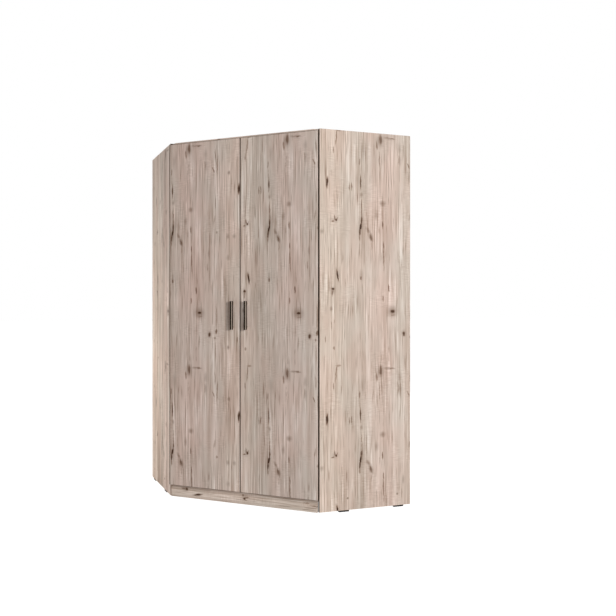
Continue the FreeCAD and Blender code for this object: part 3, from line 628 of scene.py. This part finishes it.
for side, axis in (("right", 0), ("left", 1)):
    low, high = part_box(side + "_back_sheet_outer")
    material = hardboard(side + "_hardboard", axis, (low[axis] + high[axis]) / 2)
    for part in ("outer", "inner"):
        dress(side + "_back_sheet_" + part, material)
print("hardboard on four back sheets")

# %% [markdown]
# Fasteners repeat all over the wardrobe, so one Geometry Nodes tree makes them all: a round head with
# rings of points on its top, which Set Position domes and sinks to a cross where a driver goes in, and a
# shank below it. The tree sets one on each point, turned to that point's own direction. Points,
# directions and sizes come from the CAD solids, so each stands where its solid stands.

# %% Where the CAD solids of a node are
SAME_POINT = 1e-6
SAME_PLANE = 1e-5
RIM_SHARE = 0.9


def solids_of(node):
    """Points of each separate solid in a node, read from a merged copy of its mesh, in a fixed order."""
    shell = bmesh.new()
    shell.from_mesh(nodes[node].data)
    bmesh.ops.remove_doubles(shell, verts=shell.verts, dist=SAME_POINT)
    left = dict.fromkeys(shell.verts)
    found = []
    while left:
        queue = [left.popitem()[0]]
        points = []
        while queue:
            vert = queue.pop()
            points.append(vert.co[:])
            for link in vert.link_edges:
                other = link.other_vert(vert)
                if other in left:
                    del left[other]
                    queue.append(other)
        found.append(np.array(sorted(points)))
    shell.free()
    return found


def head_of(points, flat):
    """Seat, outward direction and sizes of a headed fastener, or of a flat round one."""
    middle = (points.min(0) + points.max(0)) / 2
    axis = np.linalg.svd(points - points.mean(0))[2][2 if flat else 0]
    along = (points - middle) @ axis
    radial = np.linalg.norm(points - middle - np.outer(along, axis), axis=1)
    rim = along[radial > RIM_SHARE * radial.max()]
    if flat:
        outwards = middle * (1, 1, 0) @ axis
    else:
        outwards = rim.mean()
    if outwards < 0:
        axis, along, rim = -axis, -along, -rim
    shank = radial[along < along.min() + SAME_PLANE].max()
    seat = middle + axis * rim.min()
    return seat, axis, radial.max(), rim.max() - rim.min(), shank, rim.min() - along.min()


print("hinge plates are held by", len(solids_of("hinge_plate_screws")), "screws")

# %% Head and shank
HEAD_SIDES, HEAD_RINGS, SHANK_SIDES = 32, 7, 16
DOME_POWER, DOME_SHARE = 2.6, 0.55
CROSS_REACH = 0.66
INTO_HEAD = 0.2


def lifted(k, shape, height):
    """A shape moved along Z."""
    way = k.add("ShaderNodeCombineXYZ", {2: height}).outputs[0]
    return k.add("GeometryNodeTransform", {"Geometry": shape, "Translation": way}).outputs[0]


def add_head(k, radius, height, width, depth):
    """A round head on its seat, domed on top and sunk to a cross of the given width and depth."""
    sizes = {"Vertices": HEAD_SIDES, "Fill Segments": HEAD_RINGS, "Radius": radius, "Depth": height}
    head = k.add("GeometryNodeMeshCylinder", sizes, fill_type="TRIANGLE_FAN").outputs["Mesh"]
    spot = k.add("GeometryNodeInputPosition").outputs[0]
    x, y, z = k.add("ShaderNodeSeparateXYZ", {0: spot}).outputs
    on_top = k.math("GREATER_THAN", z, 0.0)
    square = k.math("ADD", k.math("MULTIPLY", x, x), k.math("MULTIPLY", y, y))
    away = k.math("DIVIDE", k.math("SQRT", square), radius)
    dome = k.math("MULTIPLY", k.math("POWER", away, DOME_POWER), k.math("MULTIPLY", height, DOME_SHARE))
    arm = k.math("MINIMUM", k.math("ABSOLUTE", x), k.math("ABSOLUTE", y))
    in_cross = k.math("LESS_THAN", arm, k.math("MULTIPLY", width, radius))
    in_reach = k.math("LESS_THAN", away, CROSS_REACH)
    sunk = k.math("MULTIPLY", k.math("MULTIPLY", in_cross, in_reach), k.math("MULTIPLY", depth, height))
    drop = k.math("MULTIPLY", k.math("ADD", dome, sunk), -1.0)
    shift = k.add("ShaderNodeCombineXYZ", {2: drop}).outputs[0]
    moves = {"Geometry": head, "Selection": on_top, "Offset": shift}
    domed = k.add("GeometryNodeSetPosition", moves).outputs[0]
    return lifted(k, domed, k.math("MULTIPLY", height, 0.5))


def add_shank(k, radius, below, height):
    """A shank that hangs below the seat and reaches a little into the head."""
    into_head = k.math("MULTIPLY", height, INTO_HEAD)
    length = k.math("ADD", below, into_head)
    sizes = {"Vertices": SHANK_SIDES, "Radius": radius, "Depth": length}
    shank = k.add("GeometryNodeMeshCylinder", sizes).outputs["Mesh"]
    return lifted(k, shank, k.math("SUBTRACT", into_head, k.math("MULTIPLY", length, 0.5)))


print("heads have", HEAD_SIDES, "sides and", HEAD_RINGS, "rings, shanks", SHANK_SIDES, "sides")


# %% The fastener tree
def make_fastener_tree():
    tree = bpy.data.node_groups.new("headed_fasteners", "GeometryNodeTree")
    tree.interface.new_socket("Points", in_out="INPUT", socket_type="NodeSocketGeometry")
    sizes = ("Head radius", "Head height", "Shank radius", "Shank length", "Recess width", "Recess depth")
    for name in sizes:
        tree.interface.new_socket(name, in_out="INPUT", socket_type="NodeSocketFloat")
    tree.interface.new_socket("Finish", in_out="INPUT", socket_type="NodeSocketMaterial")
    tree.interface.new_socket("Fasteners", in_out="OUTPUT", socket_type="NodeSocketGeometry")
    k = Sketch(tree)
    given = k.add("NodeGroupInput").outputs
    height = given["Head height"]
    head = add_head(k, given["Head radius"], height, given["Recess width"], given["Recess depth"])
    shank = add_shank(k, given["Shank radius"], given["Shank length"], height)
    both = k.add("GeometryNodeJoinGeometry")
    k.join(head, both.inputs[0])
    k.join(shank, both.inputs[0])
    way = k.add("GeometryNodeInputNamedAttribute", {"Name": "way"}, data_type="FLOAT_VECTOR").outputs[0]
    facing = k.add("FunctionNodeAlignRotationToVector", {"Vector": way}, axis="Z").outputs[0]
    setting = {"Points": given["Points"], "Instance": both.outputs[0], "Rotation": facing}
    spread = k.add("GeometryNodeInstanceOnPoints", setting)
    real = k.add("GeometryNodeRealizeInstances", {"Geometry": spread.outputs[0]})
    painted = k.add("GeometryNodeSetMaterial", {"Geometry": real.outputs[0], "Material": given["Finish"]})
    k.join(painted.outputs[0], k.add("NodeGroupOutput").inputs[0])
    return tree


fastener_tree = make_fastener_tree()
print("fastener tree:", len(fastener_tree.nodes), "nodes")

# %% Set the fasteners
CROSS, PLAIN = (0.16, 0.7), (0, 0)
FLAT_SHANK_SHARE, FLAT_SHANK_LENGTH = 0.5, 0.0002


def grown(name, points, tree, values, attributes):
    """Runs a Geometry Nodes tree on loose points and returns the result as a plain mesh object."""
    seed = bpy.data.meshes.new(name + "_points")
    seed.from_pydata([tuple(p) for p in points], [], [])
    for key, rows in attributes.items():
        seed.attributes.new(key, "FLOAT_VECTOR", "POINT").data.foreach_set("vector", np.ravel(rows))
    maker = bpy.data.objects.new(name + "_maker", seed)
    scene.collection.objects.link(maker)
    modifier = maker.modifiers.new("tree", "NODES")
    modifier.node_group = tree
    for item in tree.interface.items_tree:
        if item.in_out == "INPUT" and item.name in values:
            modifier[item.identifier] = values[item.name]
    graph = bpy.context.evaluated_depsgraph_get()
    mesh = bpy.data.meshes.new_from_object(maker.evaluated_get(graph))
    bpy.data.objects.remove(maker)
    mesh.name = name
    piece = bpy.data.objects.new(name, mesh)
    scene.collection.objects.link(piece)
    return piece


def set_fasteners(node, body, recess=CROSS, flat=False):
    found = [head_of(points, flat) for points in solids_of(node)]
    radius, height, shank, length = np.mean([f[2:] for f in found], axis=0)
    if flat:
        shank, length = shank * FLAT_SHANK_SHARE, FLAT_SHANK_LENGTH
    values = {"Head radius": radius, "Head height": height, "Shank radius": shank, "Shank length": length,
              "Recess width": recess[0], "Recess depth": recess[1], "Finish": finishes[slot_of[node]]}
    ways = {"way": [f[1] for f in found]}
    piece = grown(node + "_set", [f[0] for f in found], fastener_tree, values, ways)
    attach(piece, body)
    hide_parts(node)
    faces = len(piece.data.polygons)
    print(piece.name, len(found), "pieces,", faces, "faces, head", round(radius * MM_PER_M, 2), "mm")


for node in ("hinge_plate_screws", "hinge_arm_screws", "rail_hanger_screws", "bracket_screws"):
    set_fasteners(node, "carcass")
for side in ("right", "left"):
    set_fasteners(side + "_cup_screws", side + "_door")
    set_fasteners(side + "_handle_screws", side + "_door")
set_fasteners("back_sheet_nails", "carcass", PLAIN)
set_fasteners("cover_caps", "carcass", PLAIN, flat=True)

# %% [markdown]
# Each handle is a square bar, lacquered almost black. Its right front edge is planed to a narrow slope
# in bright cut metal, whose colour also stands in for a painted highlight of the main light, so it shows
# as one light line between two dark ones. Two slimmer legs, bright too, hold the bar off the door. The
# limits of bar and legs are read from the CAD handle, so the finer one fills the same space.

# %% Shapes of bar and leg
SLOPE_WIDTH, SLOPE_DEPTH, SOFT_EDGE = 0.004, 0.0015, 0.0002


def add_block(shell, u, v, z):
    """A block between limits in u, v and z; gives back its faces."""
    made = bmesh.ops.create_cube(shell, size=1.0)["verts"]
    for vert in made:
        vert.co = [pair[0] if part < 0 else pair[1] for part, pair in zip(vert.co, (u, v, z))]
    return {face for vert in made for face in vert.link_faces}


def add_bar(shell, u, v, z):
    """An upright bar whose front slopes back at its right; gives back the slope."""
    left, right = u
    front, back = v
    slope_start, slope_end = (right - SLOPE_WIDTH, front), (right, front + SLOPE_DEPTH)
    profile = [(left, back), (left, front), slope_start, slope_end, (right, back)]
    foot, head = [[shell.verts.new((*corner, end)) for corner in profile] for end in z]
    shell.faces.new(foot[::-1])
    shell.faces.new(head)
    sides = []
    for i, corner in enumerate(foot):
        sides.append(shell.faces.new((foot[i - 1], corner, head[i], head[i - 1])))
    return sides[profile.index(slope_end)]


print("slope", SLOPE_WIDTH * MM_PER_M, "mm wide and", SLOPE_DEPTH * MM_PER_M, "mm deep")

# %% Handles
TOUCHES_DOOR, BESIDE_LEG = 1e-4, 1e-3
BRIGHT = 1
SHARP_ANGLE = math.radians(40)
SORT_WAY = Vector((1.0, 3.7, 11.3))
metal_and_painted_highlight = plain_finish("handle_bright_cut_and_painted_highlight", [(0.36, 0.29, 0.235), (0.44, 0.365, 0.30)],
                         (90, 90, 1500), (0.35, 0.5), relief=0.00005, shine=0.2)


def bar_handle(side):
    u, v, z = points_of(side + "_handle")
    at_door = v > v.max() - TOUCHES_DOOR
    leg_u = (u[at_door].min(), u[at_door].max())
    bar_back = v[np.abs(u - u.mean()) > (leg_u[1] - leg_u[0]) / 2 + BESIDE_LEG].max()
    middle = (z.min() + z.max()) / 2
    shell = bmesh.new()
    slope = add_bar(shell, (u.min(), u.max()), (v.min(), bar_back), (z.min(), z.max()))
    # The slope takes the bright metal, which also paints the main light's highlight on it
    slope.material_index = BRIGHT
    bmesh.ops.bevel(shell, geom=shell.edges[:], offset=SOFT_EDGE, segments=2, profile=0.5, affect="EDGES")
    for leg in (at_door & (z < middle), at_door & (z > middle)):
        for face in add_block(shell, leg_u, (bar_back, v.max()), (z[leg].min(), z[leg].max())):
            face.material_index = BRIGHT
    # Bevel leaves points and faces in no fixed order, so they are sorted by place
    shell.verts.sort(key=lambda vert: vert.co.dot(SORT_WAY))
    shell.faces.sort(key=lambda part: part.calc_center_median().dot(SORT_WAY))
    bmesh.ops.recalc_face_normals(shell, faces=shell.faces)
    turn = Matrix.Rotation(math.radians(-FRONT_HEADING), 3, "Z")
    bmesh.ops.rotate(shell, verts=shell.verts, cent=(0, 0, 0), matrix=turn)
    mesh = bpy.data.meshes.new(side + "_bar_handle")
    shell.to_mesh(mesh)
    shell.free()
    mesh.shade_smooth()
    mesh.set_sharp_from_angle(angle=SHARP_ANGLE)
    mesh.materials.append(finishes["handle_metal"])
    mesh.materials.append(metal_and_painted_highlight)
    handle = bpy.data.objects.new(side + "_bar_handle", mesh)
    scene.collection.objects.link(handle)
    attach(handle, side + "_door")
    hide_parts(side + "_handle")
    sizes = [round(float(np.ptp(a)) * MM_PER_M, 1) for a in (u, v, z)]
    print(handle.name, sizes, "mm,", len(mesh.polygons), "faces")


for side in ("right", "left"):
    bar_handle(side)
